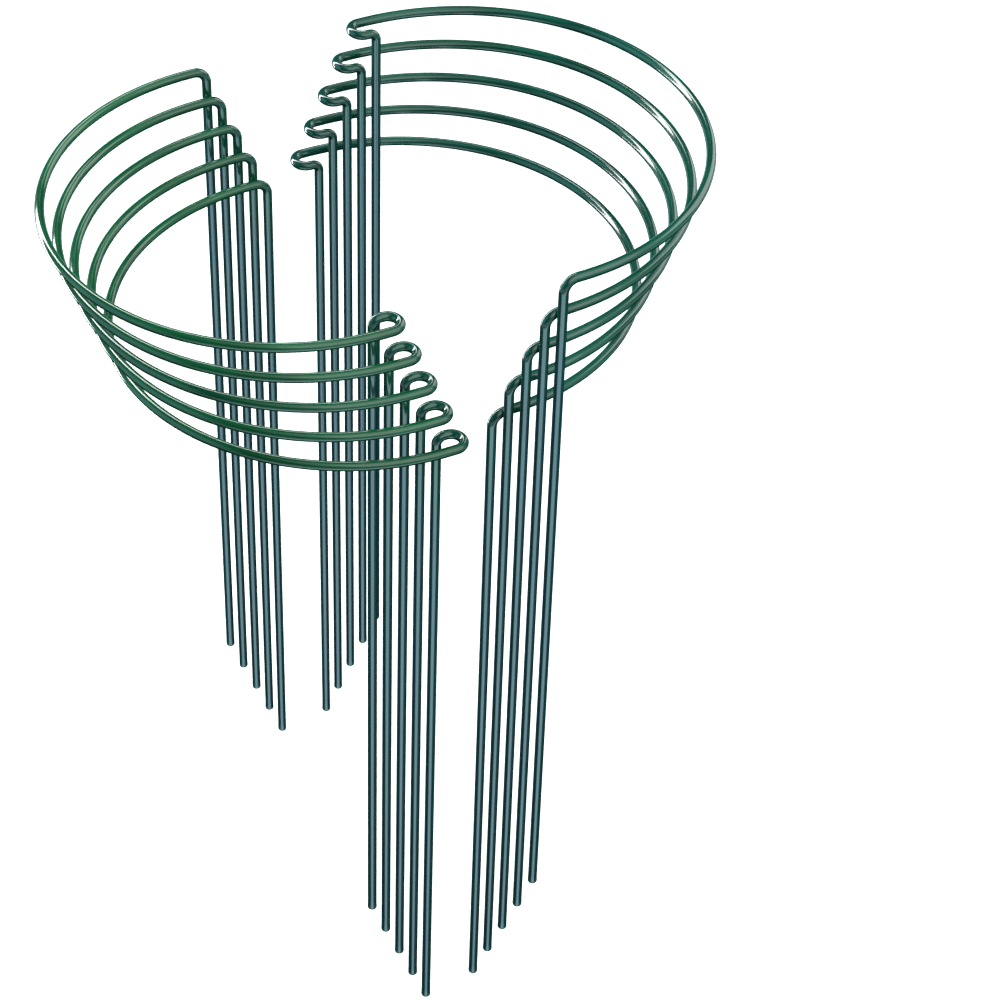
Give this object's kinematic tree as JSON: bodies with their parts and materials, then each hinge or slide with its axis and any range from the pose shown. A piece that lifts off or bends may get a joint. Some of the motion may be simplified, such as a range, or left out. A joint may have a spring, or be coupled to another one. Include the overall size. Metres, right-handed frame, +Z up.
{
  "type": "plant support ring stake",
  "caption": "Half-ring plant support stakes of green plastic-coated wire with a hook at one end, nested in two facing stacks; the legs push into soil and two halves hook into a ring.",
  "frame": {"origin": "middle of the set on the ground, at the level of the lowest feet", "axes": "+Z up along the legs, +X from the left stack to the right stack, +Y along the half rings' diameters towards the back"},
  "size_m": [0.331, 0.271, 0.5055],
  "materials": {
    "green_coating": "glossy dark green dipped plastic coating",
    "steel_wire": "drawn mild steel wire, sealed inside the coating"
  },
  "bodies": {
    "left_stake_1": {"left_stake_1_core": "steel_wire", "left_stake_1_coating": "green_coating"},
    "left_stake_2": {"left_stake_2_core": "steel_wire", "left_stake_2_coating": "green_coating"},
    "left_stake_3": {"left_stake_3_core": "steel_wire", "left_stake_3_coating": "green_coating"},
    "left_stake_4": {"left_stake_4_core": "steel_wire", "left_stake_4_coating": "green_coating"},
    "left_stake_5": {"left_stake_5_core": "steel_wire", "left_stake_5_coating": "green_coating"},
    "right_stake_1": {"right_stake_1_core": "steel_wire", "right_stake_1_coating": "green_coating"},
    "right_stake_2": {"right_stake_2_core": "steel_wire", "right_stake_2_coating": "green_coating"},
    "right_stake_3": {"right_stake_3_core": "steel_wire", "right_stake_3_coating": "green_coating"},
    "right_stake_4": {"right_stake_4_core": "steel_wire", "right_stake_4_coating": "green_coating"},
    "right_stake_5": {"right_stake_5_core": "steel_wire", "right_stake_5_coating": "green_coating"}
  },
  "joints": [
    {"name": "left_stake_4_lift", "type": "slide", "parent": "left_stake_5", "child": "left_stake_4", "axis": [0, 0, 1], "range_m": [0, 0.41]},
    {"name": "left_stake_3_lift", "type": "slide", "parent": "left_stake_4", "child": "left_stake_3", "axis": [0, 0, 1], "range_m": [0, 0.41]},
    {"name": "left_stake_2_lift", "type": "slide", "parent": "left_stake_3", "child": "left_stake_2", "axis": [0, 0, 1], "range_m": [0, 0.41]},
    {"name": "left_stake_1_lift", "type": "slide", "parent": "left_stake_2", "child": "left_stake_1", "axis": [0, 0, 1], "range_m": [0, 0.41]},
    {"name": "right_stake_5_lift", "type": "slide", "parent": "left_stake_5", "child": "right_stake_5", "axis": [0, 0, 1], "range_m": [0, 0.41]},
    {"name": "right_stake_4_lift", "type": "slide", "parent": "right_stake_5", "child": "right_stake_4", "axis": [0, 0, 1], "range_m": [0, 0.41]},
    {"name": "right_stake_3_lift", "type": "slide", "parent": "right_stake_4", "child": "right_stake_3", "axis": [0, 0, 1], "range_m": [0, 0.41]},
    {"name": "right_stake_2_lift", "type": "slide", "parent": "right_stake_3", "child": "right_stake_2", "axis": [0, 0, 1], "range_m": [0, 0.41]},
    {"name": "right_stake_1_lift", "type": "slide", "parent": "right_stake_2", "child": "right_stake_1", "axis": [0, 0, 1], "range_m": [0, 0.41]}
  ]
}
